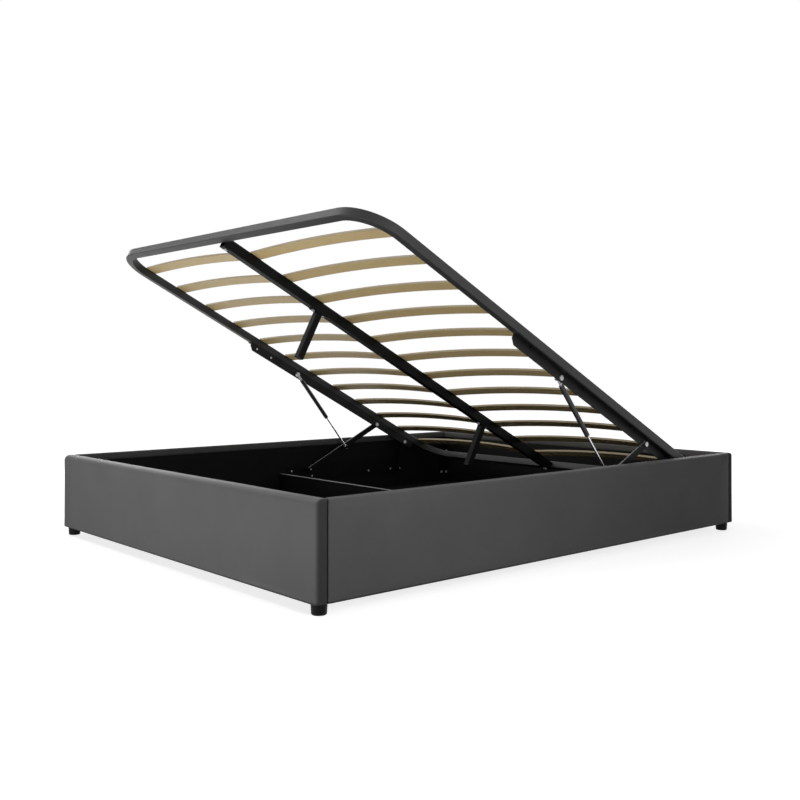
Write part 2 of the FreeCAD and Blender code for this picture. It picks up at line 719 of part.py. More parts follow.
def lift_rail():
    """Right lift rail: an angle under the side tube, with its pivot pins and bolts."""
    start = STRUT_PIN[0] - S["rail_lead"]
    stop = REAR_PIN[0] + S["rail_tail"]
    low = TUBE_UNDER - S["rail_web"]
    chamfer = S["rail_chamfer"]
    corners = [
        (start, TUBE_UNDER),
        (start, low + chamfer),
        (start + chamfer, low),
        (stop - chamfer / 2, low),
        (stop, low + chamfer / 2),
        (stop, TUBE_UNDER),
    ]
    web = pad("lift_rail_web", "YZ", corners, (TUBE_FACE, WEB_OUTER))
    flange_x = (TUBE_FACE, TUBE_FACE + S["rail_flange"])
    flange_z = (TUBE_UNDER - S["rail_thickness"], TUBE_UNDER)
    flange = box("lift_rail_flange", flange_x, (start, stop), flange_z)
    inner_head = (TUBE_FACE - S["pivot_head"], TUBE_FACE)
    nut = (ARM_OUTER + S["side_play"], ARM_OUTER + S["side_play"] + S["pivot_head"])
    web_x = (TUBE_FACE, WEB_OUTER)
    front = fuse("front_pin", [
        rod("front_pin_head", "x", inner_head, FRONT_PIN, S["pivot_head_radius"]),
        rod("front_pin_shank", "x", (TUBE_FACE, nut[0]), FRONT_PIN, S["pivot_radius"]),
        rod("front_pin_nut", "x", nut, FRONT_PIN, S["pivot_head_radius"]),
    ])
    rear = fuse("rear_pin", [
        rod("rear_pin_head", "x", inner_head, REAR_PIN, S["pivot_head_radius"]),
        rod("rear_pin_shank", "x", web_x, REAR_PIN, S["pivot_radius"]),
    ])
    outer_head = (WEB_OUTER, WEB_OUTER + S["pivot_head"])
    strut = fuse("strut_pin", [
        rod("strut_pin_head", "x", outer_head, STRUT_PIN, S["pivot_head_radius"]),
        rod("strut_pin_shank", "x", web_x, STRUT_PIN, S["pivot_radius"]),
    ])
    holes = [
        rod("rail_hole_%d" % index, "x", web_x, at, S["pivot_radius"])
        for index, at in enumerate((FRONT_PIN, REAR_PIN, STRUT_PIN))
    ]
    rail = node(cut("lift_rail_right", fuse("lift_rail_blank", [web, flange]), holes), PLATFORM_POSE)
    node(mirrored("lift_rail_left", rail))
    node(both_sides("rail_pins", group("rail_pins_right", [front, rear, strut])), PLATFORM_POSE)
    seat = flange_z[0]
    middle = (WEB_OUTER + PLATFORM_HALF) / 2
    under = [
        hex_head("flange_bolt_%d" % index, "z", seat, -1, (middle, start + (stop - start) * share))
        for index, share in enumerate(RAIL_BOLT_SHARES)
    ]
    inside = [
        hex_head(name, "x", TUBE_FACE, -1, (start + S[name], -S["web_bolt_drop"]))
        for name in ("first_web_bolt", "second_web_bolt")
    ]
    node(both_sides("flange_bolts", group("flange_bolts_right", under)), PLATFORM_POSE)
    node(both_sides("rail_bolts", group("rail_bolts_right", inside)), PLATFORM_POSE)


# Platform frame


def slat_middle(row):
    """Middle of a row's slats; the rows share out the room between the first and the last."""
    first = S["first_slat_from_foot"]
    last = PLATFORM_LENGTH - S["last_slat_from_head"]
    return first + (last - first) * (row / (SLAT_ROWS - 1))


def square_section(label, size, corner, level):
    """Section of the perimeter tube, upright across the right side tube."""
    sketch = doc.addObject("Sketcher::SketchObject", label)
    low_x = PLATFORM_HALF - S["tube_size"] / 2 - size / 2
    high_x = low_x + size
    high_z = (size - S["tube_size"]) / 2
    low_z = high_z - size
    corners = [
        (low_x + corner, low_z), (high_x - corner, low_z),
        (high_x, low_z + corner), (high_x, high_z - corner),
        (high_x - corner, high_z), (low_x + corner, high_z),
        (low_x, high_z - corner), (low_x, low_z + corner),
    ]
    draw(sketch, corners, {edge: (corner, True) for edge in (1, 3, 5, 7)})
    sketch.Placement.Rotation = FreeCAD.Rotation(FreeCAD.Vector(1, 0, 0), 90)
    sketch.setExpression("Placement.Base.y", text_of(level))
    return sketch


def hoop(label, end_line, split, toward_end):
    """Half of the perimeter: a square tube bent round two corners, from split to end."""
    path = doc.addObject("Sketcher::SketchObject", label + "_path")
    side = PLATFORM_HALF - S["tube_size"] / 2
    bend = S["bend_radius"]
    turn = end_line - bend * toward_end
    corners = [
        (side, split), (side, turn), (side - bend, end_line),
        (bend - side, end_line), (-side, turn), (-side, split),
    ]
    turns_left = toward_end > 0
    draw(path, corners, {1: (bend, turns_left), 3: (bend, turns_left)}, closed=False)
    middle = S["tube_size"] / 2
    path.setExpression("Placement.Base.z", text_of(-middle))
    sweeps = []
    wall = S["tube_wall"]
    sections = (
        ("outer", S["tube_size"], S["tube_round"]),
        ("inner", S["tube_size"] - wall * 2, S["tube_round"] - wall),
    )
    for kind, size, corner in sections:
        section = square_section("%s_%s_section" % (label, kind), size, corner, split)
        doc.recompute()
        sweep = doc.addObject("Part::Sweep", "%s_%s" % (label, kind))
        sweep.Sections = [section]
        sweep.Spine = (path, ["Edge%d" % (edge + 1) for edge in range(len(corners) - 1)])
        sweep.Solid = True
        sweep.Frenet = False
        sweeps.append(sweep)
    tube = cut(label + "_tube", sweeps[0], [sweeps[1]])
    end_face = end_line + (middle + S["overrun"]) * toward_end
    lengths = hoop_lengths(label, tube, ordered(split, turn), ordered(turn, end_face))
    node(group(label, lengths), PLATFORM_POSE)


def hoop_lengths(label, tube, legs_y, end_y):
    """The welded lengths of a hoop: two legs, two bends and an end tube, which meet where bends begin."""
    straight = PLATFORM_HALF - S["tube_size"] / 2 - S["bend_radius"]
    outside = PLATFORM_HALF + S["overrun"]
    span_z = (TUBE_UNDER - S["overrun"], S["overrun"])
    spans = {
        "leg_right": ((ZERO, outside), legs_y),
        "leg_left": ((-outside, ZERO), legs_y),
        "bend_right": ((straight, outside), end_y),
        "bend_left": ((-outside, -straight), end_y),
        "end": ((-straight, straight), end_y),
    }
    lengths = []
    for kind, (span_x, span_y) in spans.items():
        length = doc.addObject("Part::MultiCommon", "%s_%s" % (label, kind))
        length.Shapes = [tube, box("%s_%s_span" % (label, kind), span_x, span_y, span_z)]
        lengths.append(length)
    return lengths


def square_tube(label, span_x, span_y, span_z, along, wall):
    """A straight hollow tube, open at its two ends along one axis."""
    spans = dict(zip("xyz", (span_x, span_y, span_z)))
    inner = {
        axis: (low - S["overrun"], high + S["overrun"]) if axis == along else (low + wall, high - wall)
        for axis, (low, high) in spans.items()
    }
    bar = box(label + "_bar", span_x, span_y, span_z)
    return cut(label, bar, [box(label + "_hollow", *inner.values())])


def perimeter():
    """Two hoops that meet between the middle slats, over sleeves inside the side tubes."""
    middle = slat_middle((SLAT_ROWS - 1) / 2)
    half_tube = S["tube_size"] / 2
    hoop("foot_hoop", half_tube, middle, -1)
    hoop("head_hoop", PLATFORM_LENGTH - half_tube, middle, 1)
    inside = S["tube_wall"]
    span_x = (TUBE_FACE + inside, PLATFORM_HALF - inside)
    span_y = (middle - S["sleeve_length"] / 2, middle + S["sleeve_length"] / 2)
    sleeve = square_tube("sleeve", span_x, span_y, (TUBE_UNDER + inside, -inside), "y", S["sleeve_wall"])
    corner = S["tube_round"] - S["tube_wall"]
    trimmed = doc.addObject("Part::Chamfer", "sleeve_trimmed")
    trimmed.Base = sleeve
    doc.recompute()
    long_edges = [
        index + 1
        for index, edge in enumerate(sleeve.Shape.Edges)
        if near(edge.Length, S["sleeve_length"])
        and near(abs(edge.CenterOfMass.x - number(span_x[0] + span_x[1]) / 2), (span_x[1] - span_x[0]) / 2)
    ]
    trimmed.Edges = [(index, number(corner), number(corner)) for index in long_edges]
    node(both_sides("hoop_sleeves", trimmed), PLATFORM_POSE)


def centre_support():
    """Centre beam between the end tubes, with two fixed legs, their caps and the bolts."""
    tube = S["tube_size"]
    half = S["beam_width"] / 2
    beam_y = (tube, PLATFORM_LENGTH - tube)
    beam_z = (BEAM_UNDER, -S["beam_drop"])
    node(square_tube("centre_beam", (-half, half), beam_y, beam_z, "y", S["tube_wall"]), PLATFORM_POSE)
    leg_half = S["leg_size"] / 2
    plate_half = S["leg_plate_length"] / 2
    plate_z = (BEAM_UNDER - S["leg_plate"], BEAM_UNDER)
    plug_half = leg_half - S["tube_wall"]
    caps = []
    heads = []
    places = (("foot", S["leg_from_foot"]), ("head", PLATFORM_LENGTH - S["leg_from_head"]))
    for end, y in places:
        shank_z = (LEG_END + S["leg_cap_sole"], plate_z[0])
        span = (-leg_half, leg_half)
        around = (y - leg_half, y + leg_half)
        shank = square_tube("leg_tube_" + end, span, around, shank_z, "z", S["tube_wall"])
        top = box("leg_plate_" + end, (-half, half), (y - plate_half, y + plate_half), plate_z)
        node(fuse("centre_leg_" + end, [shank, top]), PLATFORM_POSE)
        sole_top = LEG_END + S["leg_cap_sole"]
        sole = box("leg_cap_sole_" + end, span, around, (LEG_END, sole_top))
        plug_y = (y - plug_half, y + plug_half)
        plug_z = (LEG_END, sole_top + S["leg_cap_plug"])
        plug = box("leg_cap_plug_" + end, (-plug_half, plug_half), plug_y, plug_z)
        caps.append(fuse("leg_cap_" + end, [sole, plug]))
        for side in (-1, 1):
            at = (ZERO, y + (plate_half + leg_half) / 2 * side)
            heads.append(hex_head("leg_bolt_%s_%d" % (end, side), "z", plate_z[0], -1, at))
    for end, y in (("foot", S["beam_bolt_from_end"]), ("head", PLATFORM_LENGTH - S["beam_bolt_from_end"])):
        heads.append(hex_head("beam_bolt_" + end, "z", BEAM_UNDER, -1, (ZERO, y)))
    node(group("leg_caps", caps), PLATFORM_POSE)
    node(group("platform_bolts", heads), PLATFORM_POSE)


def slats():
    """Rows of bowed slats that lie on the side tubes and on the centre beam."""
    wide = S["slat_width"] / 2
    low_x, high_x = SLAT_X
    thick = S["slat_thickness"]
    low_end = -S["beam_drop"]
    bow = arc_radius(high_x - low_x, S["slat_rise"])
    corners = [(low_x, low_end), (high_x, ZERO), (high_x, thick), (low_x, low_end + thick)]
    arcs = {0: (bow, False), 2: (bow, True)}
    for row in range(SLAT_ROWS):
        label = "%02d" % (row + 1)
        y = slat_middle(row)
        slat = pad("slat_" + label, "XZ", corners, (y - wide, y + wide), arcs)
        node(both_sides("slat_row_" + label, slat), PLATFORM_POSE)


panel("foot_panel", FOOT_FACE, -1, S["foot_panel_thickness"], S["foot_panel_round"])
panel("head_panel", HEAD_FACE, 1, S["head_panel_thickness"], S["head_panel_round"])
side_rail()
corner_hardware()
base_plate()
storage_floor()
glides()
front_arm()
rear_link()
gas_strut()
lift_rail()
perimeter()
centre_support()
slats()
doc.recompute()

faults = [item.Label for item in doc.Objects if {"Invalid", "Error"} & set(item.State)]
faults += [item.Label for item in nodes if item.Shape.isNull() or not item.Shape.isValid()]
if faults:
    raise RuntimeError("failed: " + ", ".join(faults))
os.makedirs("parts", exist_ok=True)
for item in nodes:
    item.Shape.exportStep("parts/%s.step" % item.Label)


def degrees(direction):
    return math.degrees(cmath.phase(direction))


print("sub-parts", len(nodes))
print("platform edge open", open_edge, "closed", closed_edge)
print("arm pivot", point(ARM_PIVOT), "degrees", degrees(arm_open), degrees(arm_closed))
print("link pivot", point(LINK_PIVOT), "degrees", degrees(link_open), degrees(link_closed))
print("front pin open", point(ARM_PIVOT) + arm_open, "rear pin open", rear_open)
print("strut stud open", stud_open, "degrees", degrees(strut_open), degrees(strut_closed))
print("strut length", abs(strut_open), abs(strut_closed))
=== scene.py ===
import json
import math

import bmesh
import bpy
from mathutils import Matrix, Vector


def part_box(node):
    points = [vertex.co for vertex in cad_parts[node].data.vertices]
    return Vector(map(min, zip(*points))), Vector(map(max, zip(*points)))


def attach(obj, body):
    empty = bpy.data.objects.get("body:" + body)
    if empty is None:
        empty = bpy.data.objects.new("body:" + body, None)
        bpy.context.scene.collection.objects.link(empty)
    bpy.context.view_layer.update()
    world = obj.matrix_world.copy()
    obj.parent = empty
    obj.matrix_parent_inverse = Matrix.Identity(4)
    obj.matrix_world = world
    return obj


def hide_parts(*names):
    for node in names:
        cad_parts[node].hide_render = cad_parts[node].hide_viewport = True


# Ottoman bed with its platform up: padded faux-leather panels round a black storage box,
# a black steel lift mechanism with gas struts, and bowed wooden slats in a steel tube frame.
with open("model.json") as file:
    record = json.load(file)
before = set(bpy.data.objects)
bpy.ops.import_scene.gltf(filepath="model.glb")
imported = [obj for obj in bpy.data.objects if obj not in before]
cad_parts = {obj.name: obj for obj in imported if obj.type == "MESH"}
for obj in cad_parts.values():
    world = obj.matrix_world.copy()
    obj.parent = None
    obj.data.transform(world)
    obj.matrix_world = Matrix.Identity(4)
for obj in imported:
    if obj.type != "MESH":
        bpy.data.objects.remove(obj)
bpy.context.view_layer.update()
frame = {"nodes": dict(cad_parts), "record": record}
scene = bpy.context.scene
scene.view_settings.view_transform = "Standard"
MM = 0.001

# Camera at the photograph's place: it looks level, and the horizon sits a little above the
# middle of the frame
CAMERA_PLACE = (2.886, -2.535, 0.6657)
CAMERA_TURN_DEGREES = 48.851
CAMERA_LENS_MM = 43.396
CAMERA_SENSOR_MM = 36.0
CAMERA_SHIFT = -0.0441

# Floor and surround: reaches in metres from the bed's middle, levels as shares of white
FLOOR_HALF_SIDE = 12
FLOOR_NEAR_REACH = 1.2
FLOOR_FAR_REACH = 2.6
FLOOR_NEAR_LEVEL = 0.80
FLOOR_SHADE = "#b3b3b3"
PAPER_BOUNCE = "#6a6a6a"
SURROUND_LIGHT = 0.07
WHITE = "#ffffff"

# Lamps: name, place and aim in metres, width and height in metres, power in watts
LAMPS = (
    # low in front, for the foot panel
    ("foot_softbox", (-1.0, -3.4, 0.32), (0, -0.9, 0.4), (2.6, 0.5), 1.4),
    # near the right side panel's foot end, so that the panel darkens towards the head
    ("side_softbox", (2.2, -0.72, 0.9), (0.84, -0.72, 0.15), (0.9, 0.9), 14.6),
    # on the floor in front of the foot panel, for the undersides of the slats
    ("low_softbox", (0.12, -2.05, 0.06), (0, -0.9, 1.25), (2.2, 0.4), 22.5),
    # high on the left, mirrored in the foot end of the tube
    ("high_left_softbox", (-2.0, -1.85, 3.5), (0.4, -1.0, 1.0), (1.6, 1.6), 39),
    # on the left, for the tube's left bend and the left side panel
    ("left_softbox", (-3.4, -0.7, 1.75), (-0.75, -1.0, 1.1), (0.5, 0.5), 10),
    # overhead, for the panels' tops
    ("top_softbox", (0.0, -0.8, 4.4), (0, -0.2, 0), (3.6, 3.6), 40),
    # behind and on the left, for the outer faces seen from there
    ("back_softbox", (-0.8, 4.2, 1.6), (0, 1.0, 0.25), (2.4, 1.6), 42),
    ("rear_left_softbox", (-3.0, 0.5, 0.9), (-0.84, 0.2, 0.15), (1.4, 1.0), 22),
)

# Sockets of the colour mix node: its share, its two colours and its result
SHARE = 0
COLOUR_A = 6
COLOUR_B = 7
MIXED = 2

# Platform's tilt in the rest pose
PLATFORM_TILT = math.radians(27.4)

# Painted highlight along the boards' top edges
NO_HIGHLIGHT_LEVEL = 1.0  # above every board, so that no painted highlight shows
DIVIDER_HIGHLIGHT = 0.2 * MM  # height of the painted highlight at the divider's top

# Black powder coat: darkest and lightest tone, and shine
BLACK_COAT = ("#070707", "#0d0d0d", 0.09)

# Padded covers
SWELL_ROOM = 2.0 * MM  # left free outside and on top for the swelling
RETURN_DEPTH = 30 * MM  # faux leather folded over the board's inner top edge
RETURN_LIP = 1.5 * MM  # between the two rows of edges at the return
RETURN_ROUND = 7 * MM
HEM_ROUND = 5 * MM
# painted shade: a black band along each cover's underside, where shade falls under the panel
HEM_SHADE_EDGE = 6.5 * MM  # height of the row of edges just above the painted hem shade
HEM_SHADE_TOP = 4.5 * MM  # height up to which the painted hem shade is full black
HEM_SHADE_BLUR = 1.5 * MM
BOARD_RECESS = 6 * MM  # how far the inner face lies inside the board below the return
RECESS_START = 1 * MM  # below the return's edge
BOARD_END = 34 * MM  # length at each end that keeps its full thickness
TUCK_REACH = 26 * MM  # length at each end that is folded in
TUCK_CURVE = 1.4
# painted shade where each cover is folded in at its ends
FOLD_SHADE_START = 7 * MM  # from the tucked end to where the fold's shade begins
FOLD_SHADE_BLUR = 5 * MM
FOLD_SHADE_FACE = 0.78  # share of the thickness where the fold's shade starts to fade
FOLD_SHADE_FADE = 0.18
FOLD_SHADE_DARK = 0.62
ROW_STEP = 16 * MM
ROUND_GAP = 2 * MM  # kept free of rows beside a rounded edge
MERGE_GAP = 0.05 * MM
SAME_PLACE = 0.001 * MM

# Cloth simulation of the covers
CLOTH_FRAMES = 20
CLOTH_SETTINGS = {
    "quality": 5,
    "mass": 0.4,
    "tension_stiffness": 12,
    "compression_stiffness": 12,
    "shear_stiffness": 6,
    "bending_stiffness": 1.5,
    "use_pressure": True,
    "uniform_pressure_force": 4.0,
}
HELD_DEPTH = 0.3  # share of the thickness, from the inner face, that is held still
HELD_HEM = 10 * MM  # height above the underside that is held still
SWELL_CAP = 3.0 * MM  # furthest that a vertex moves
CALM_END = 60 * MM  # length at each end over which the swelling dies down
CALM_SHARE = 0.25  # share of the swelling that is left at the very end

# Small fastener heads
FASTENER_REACH = 24 * MM  # vertices nearer than this belong to one fastener
PIN_HEAD_LEAST = 12 * MM  # a narrower group is a pin's far end
HEAD_SIDES = 20
HEAD_ROUND = 0.4  # share of a head's rise
RIM_GAP = 0.01 * MM  # edges nearer than this to a head's top are its rim


def linear(code):
    """An sRGB hex colour as linear red, green, blue and alpha."""
    parts = [int(code[place:place + 2], 16) / 255 for place in (1, 3, 5)]
    return [p / 12.92 if p <= 0.04045 else ((p + 0.055) / 1.055) ** 2.4 for p in parts] + [1.0]


def per_metre(millimetres):
    """Texture scale for a pattern of this size."""
    return 1.0 / (millimetres * MM)


def clamp(value, least=0.0, most=1.0):
    """The value, held between two limits."""
    return min(max(value, least), most)


def add(tree, kind, settings=None, links=None):
    """Adds a shader node, sets its options and socket values, and feeds its sockets."""
    made = tree.nodes.new(kind)
    for key, value in (settings or {}).items():
        if isinstance(key, str) and hasattr(made, key):
            setattr(made, key, value)
        else:
            made.inputs[key].default_value = value
    for key, source in (links or {}).items():
        tree.links.new(source, made.inputs[key])
    return made


def surface(name):
    """A new material with its shader and the piece's own coordinates in metres."""
    material = bpy.data.materials.new(name)
    material.use_nodes = True
    tree = material.node_tree
    shader = tree.nodes["Principled BSDF"]
    coords = add(tree, "ShaderNodeTexCoord").outputs["Object"]
    return material, tree, shader, coords


def dress(tree, shader, colour, gloss, relief=None, values=None):
    """Joins a material's colour, roughness and relief to its shader, and sets other values."""
    tree.links.new(colour.outputs[MIXED], shader.inputs["Base Color"])
    tree.links.new(gloss.outputs["Result"], shader.inputs["Roughness"])
    if relief:
        tree.links.new(relief.outputs["Normal"], shader.inputs["Normal"])
    for key, value in (values or {}).items():
        shader.inputs[key].default_value = value


def new_piece(name, mesh):
    """Makes an object of a finished bmesh and links it to the scene."""
    data = bpy.data.meshes.new(name)
    mesh.to_mesh(data)
    mesh.free()
    piece = bpy.data.objects.new(name, data)
    scene.collection.objects.link(piece)
    return piece


# Camera, floor, surround and lamps


def photo_camera():
    """A level camera at the photograph's place."""
    data = bpy.data.cameras.new("photo_camera")
    data.sensor_fit = "HORIZONTAL"
    data.sensor_width = CAMERA_SENSOR_MM
    data.lens = CAMERA_LENS_MM
    data.shift_y = CAMERA_SHIFT
    camera = bpy.data.objects.new("photo_camera", data)
    camera.location = CAMERA_PLACE
    camera.rotation_euler = (math.radians(90), 0, math.radians(CAMERA_TURN_DEGREES))
    scene.collection.objects.link(camera)
    scene.camera = camera


def seen_rays(tree):
    """One for rays that show a surface to the eye, nought for rays that carry its light."""
    path = add(tree, "ShaderNodeLightPath")
    mirrored = add(tree, "ShaderNodeMath", {"operation": "MAXIMUM"},
                   {0: path.outputs["Is Camera Ray"], 1: path.outputs["Is Glossy Ray"]})
    passed = add(tree, "ShaderNodeMath", {"operation": "MAXIMUM"},
                 {0: mirrored.outputs[0], 1: path.outputs["Is Transmission Ray"]})
    return passed.outputs[0]


def studio_paper():
    # Matt white paper: bounces light as paper does, and shows nearly white to the eye, with a
    # soft shadow near the bed
    material = bpy.data.materials.new("white_studio_paper")
    material.use_nodes = True
    tree = material.node_tree
    tree.nodes.clear()
    paper = add(tree, "ShaderNodeBsdfDiffuse", {"Color": linear(PAPER_BOUNCE)})
    coords = add(tree, "ShaderNodeTexCoord").outputs["Object"]
    reach = add(tree, "ShaderNodeVectorMath", {"operation": "LENGTH"}, {0: coords})
    level = add(tree, "ShaderNodeMapRange",
                {"interpolation_type": "SMOOTHSTEP",
                 "From Min": FLOOR_NEAR_REACH, "From Max": FLOOR_FAR_REACH,
                 "To Min": FLOOR_NEAR_LEVEL, "To Max": 1.0},
                {"Value": reach.outputs["Value"]})
    glow = add(tree, "ShaderNodeEmission", {"Color": linear(WHITE)},
               {"Strength": level.outputs["Result"]})
    shade = add(tree, "ShaderNodeBsdfDiffuse", {"Color": linear(FLOOR_SHADE)})
    bright = add(tree, "ShaderNodeAddShader", None, {0: glow.outputs[0], 1: shade.outputs[0]})
    mixed = add(tree, "ShaderNodeMixShader", None,
                {0: seen_rays(tree), 1: paper.outputs[0], 2: bright.outputs[0]})
    add(tree, "ShaderNodeOutputMaterial", None, {"Surface": mixed.outputs[0]})
    return material


def studio_floor():
    """A wide floor under the bed, which keeps its shadow."""
    grid = bmesh.new()
    bmesh.ops.create_grid(grid, x_segments=1, y_segments=1, size=FLOOR_HALF_SIDE)
    floor = new_piece("studio_floor", grid)
    floor.data.materials.append(studio_paper())


def white_surround():
    """White to the eye and in reflections, and a faint even light on the bed."""
    world = bpy.data.worlds.new("white_surround")
    scene.world = world
    world.use_nodes = True
    tree = world.node_tree
    tree.nodes.clear()
    ambient = add(tree, "ShaderNodeBackground",
                  {"Color": linear(WHITE), "Strength": SURROUND_LIGHT})
    white = add(tree, "ShaderNodeBackground", {"Color": linear(WHITE), "Strength": 1.0})
    mixed = add(tree, "ShaderNodeMixShader", None,
                {0: seen_rays(tree), 1: ambient.outputs[0], 2: white.outputs[0]})
    add(tree, "ShaderNodeOutputWorld", None, {"Surface": mixed.outputs[0]})


def softbox(name, place, aim, size, power):
    """A soft studio lamp turned towards its aim."""
    lamp = bpy.data.lights.new(name, "AREA")
    lamp.shape = "RECTANGLE"
    lamp.size, lamp.size_y = size
    lamp.energy = power
    holder = bpy.data.objects.new(name, lamp)
    holder.location = place
    holder.rotation_euler = (Vector(aim) - Vector(place)).to_track_quat("-Z", "Y").to_euler()
    scene.collection.objects.link(holder)


# Materials


def faux_leather():
    # Polyurethane-coated cloth with an embossed pebble grain, stretched over foam: an even
    # mid grey with a soft broad sheen on every rounded edge. The pebbles are near 1.5 mm on
    # the real cover and are drawn at 2.6 mm so that they show. Painted shade darkens it where
    # it is folded in at a panel's ends, and turns it black along the underside, under the panel.
    pebble_mm = 2.6
    pebble_depth_mm = 0.5
    mottle_mm = 9
    pull_mm = 160
    pull_depth_mm = 4
    material, tree, shader, coords = surface("grey_coated_faux_leather")
    pebble = add(tree, "ShaderNodeTexVoronoi", {"Scale": per_metre(pebble_mm)}, {"Vector": coords})
    pull = add(tree, "ShaderNodeTexNoise", {"Scale": per_metre(pull_mm), "Detail": 3.0},
               {"Vector": coords})
    mottle = add(tree, "ShaderNodeTexNoise", {"Scale": per_metre(mottle_mm), "Detail": 2.0},
                 {"Vector": coords})
    tone = add(tree, "ShaderNodeMix",
               {"data_type": "RGBA", COLOUR_A: linear("#555555"), COLOUR_B: linear("#616161")},
               {SHARE: pull.outputs["Fac"]})
    mottled = add(tree, "ShaderNodeMix",
                  {"data_type": "RGBA", "blend_type": "MULTIPLY", SHARE: 0.35},
                  {COLOUR_A: tone.outputs[MIXED], COLOUR_B: mottle.outputs["Fac"]})
    grey = add(tree, "ShaderNodeMix", {"data_type": "RGBA", SHARE: 0.25},
               {COLOUR_A: tone.outputs[MIXED], COLOUR_B: mottled.outputs[MIXED]})
    # painted shade in the end folds and along the underside, read from the cover's vertices
    fold = add(tree, "ShaderNodeAttribute", {"attribute_name": "fold"})
    shaded_grey = add(tree, "ShaderNodeMix", {"data_type": "RGBA", COLOUR_B: linear("#101010")},
                 {SHARE: fold.outputs["Fac"], COLOUR_A: grey.outputs[MIXED]})
    gloss = add(tree, "ShaderNodeMapRange", {"To Min": 0.40, "To Max": 0.54},
                {"Value": mottle.outputs["Fac"]})
    grain = add(tree, "ShaderNodeBump", {"Strength": 0.22, "Distance": pebble_depth_mm * MM},
                {"Height": pebble.outputs["Distance"]})
    drawn = add(tree, "ShaderNodeBump", {"Strength": 0.25, "Distance": pull_depth_mm * MM},
                {"Height": pull.outputs["Fac"], "Normal": grain.outputs["Normal"]})
    dress(tree, shader, shaded_grey, gloss, drawn, {"Specular IOR Level": 0.07, "Sheen Weight": 0.06})
    return material


def black_board(name, highlight_level):
    # Chipboard and hardboard faced with a matt black printed foil: nearly light-eating, with
    # a faint grey cloudiness and a slight orange-peel where the foil follows the chips. Above
    # the given level the board is painted pale grey, a painted highlight along its top edge.
    cloud_mm = 70
    chip_mm = 3.5
    chip_depth_mm = 0.3
    highlight_blur_mm = 0.6
    material, tree, shader, coords = surface(name)
    cloud = add(tree, "ShaderNodeTexNoise", {"Scale": per_metre(cloud_mm), "Detail": 4.0},
                {"Vector": coords})
    chips = add(tree, "ShaderNodeTexNoise", {"Scale": per_metre(chip_mm), "Detail": 2.0},
                {"Vector": coords})
    tone = add(tree, "ShaderNodeMix",
               {"data_type": "RGBA", COLOUR_A: linear("#060606"), COLOUR_B: linear("#0b0b0b")},
               {SHARE: cloud.outputs["Fac"]})
    height = add(tree, "ShaderNodeSeparateXYZ", None, {"Vector": coords})
    # painted highlight: pale grey above the given level
    top_highlight = add(tree, "ShaderNodeMapRange",
                {"From Min": highlight_level - highlight_blur_mm * MM, "From Max": highlight_level},
                {"Value": height.outputs["Z"]})
    top_highlighted = add(tree, "ShaderNodeMix", {"data_type": "RGBA", COLOUR_B: linear("#8c8c8c")},
                {SHARE: top_highlight.outputs["Result"], COLOUR_A: tone.outputs[MIXED]})
    gloss = add(tree, "ShaderNodeMapRange", {"To Min": 0.50, "To Max": 0.68},
                {"Value": cloud.outputs["Fac"]})
    peel = add(tree, "ShaderNodeBump", {"Strength": 0.12, "Distance": chip_depth_mm * MM},
               {"Height": chips.outputs["Fac"]})
    dress(tree, shader, top_highlighted, gloss, peel, {"Specular IOR Level": 0.10})
    return material


def powder_coat(name, dark, light, shine):
    # Mild steel under powder coat: satin, so faces turned to the light go grey, with the fine
    # orange-peel that the melted powder leaves, drawn at 2 mm so that it shows.
    peel_mm = 2.0
    peel_depth_mm = 0.1
    rub_mm = 45
    material, tree, shader, coords = surface(name)
    peel = add(tree, "ShaderNodeTexNoise", {"Scale": per_metre(peel_mm), "Detail": 1.0},
               {"Vector": coords})
    rub = add(tree, "ShaderNodeTexNoise", {"Scale": per_metre(rub_mm), "Detail": 4.0},
              {"Vector": coords})
    tone = add(tree, "ShaderNodeMix",
               {"data_type": "RGBA", COLOUR_A: linear(dark), COLOUR_B: linear(light)},
               {SHARE: rub.outputs["Fac"]})
    gloss = add(tree, "ShaderNodeMapRange", {"To Min": 0.42, "To Max": 0.56},
                {"Value": rub.outputs["Fac"]})
    relief = add(tree, "ShaderNodeBump", {"Strength": 0.04, "Distance": peel_depth_mm * MM},
                 {"Height": peel.outputs["Fac"]})
    dress(tree, shader, tone, gloss, relief, {"Specular IOR Level": shine})
    return material


def painted_highlight_bar():
    # Sheared flat steel bar under black powder coat, with a painted highlight: a fine grey line
    # along its upper edge.
    highlight_start_mm = 1.2
    highlight_full_mm = 0.4
    material = powder_coat("black_powder_coated_bar_with_rubbed_edge", *BLACK_COAT)
    tree = material.node_tree
    base_colour = tree.nodes["Principled BSDF"].inputs["Base Color"]
    coat = base_colour.links[0].from_socket
    joints = frame["record"]["behaviour"]["joints"]
    pivots = {joint["name"]: Vector(joint["pos_m"]) for joint in joints if "pos_m" in joint}
    along = (pivots["platform_lift"] - pivots["front_arm_pivot"]).normalized()
    across = Vector((0, -along.z, along.y))
    arm = frame["nodes"]["front_arm_left"].data
    upper_edge = max(across.dot(vert.co) for vert in arm.vertices)
    coords = add(tree, "ShaderNodeTexCoord").outputs["Object"]
    height = add(tree, "ShaderNodeVectorMath", {"operation": "DOT_PRODUCT", 1: across}, {0: coords})
    edge = add(tree, "ShaderNodeMapRange",
               {"From Min": upper_edge - highlight_start_mm * MM,
                "From Max": upper_edge - highlight_full_mm * MM},
               {"Value": height.outputs["Value"]})
    # painted highlight: a fine grey line along the upper edge
    edge_highlighted = add(tree, "ShaderNodeMix", {"data_type": "RGBA", COLOUR_B: linear("#8e8e90")},
                 {SHARE: edge.outputs["Result"], COLOUR_A: coat})
    tree.links.new(edge_highlighted.outputs[MIXED], base_colour)
    return material


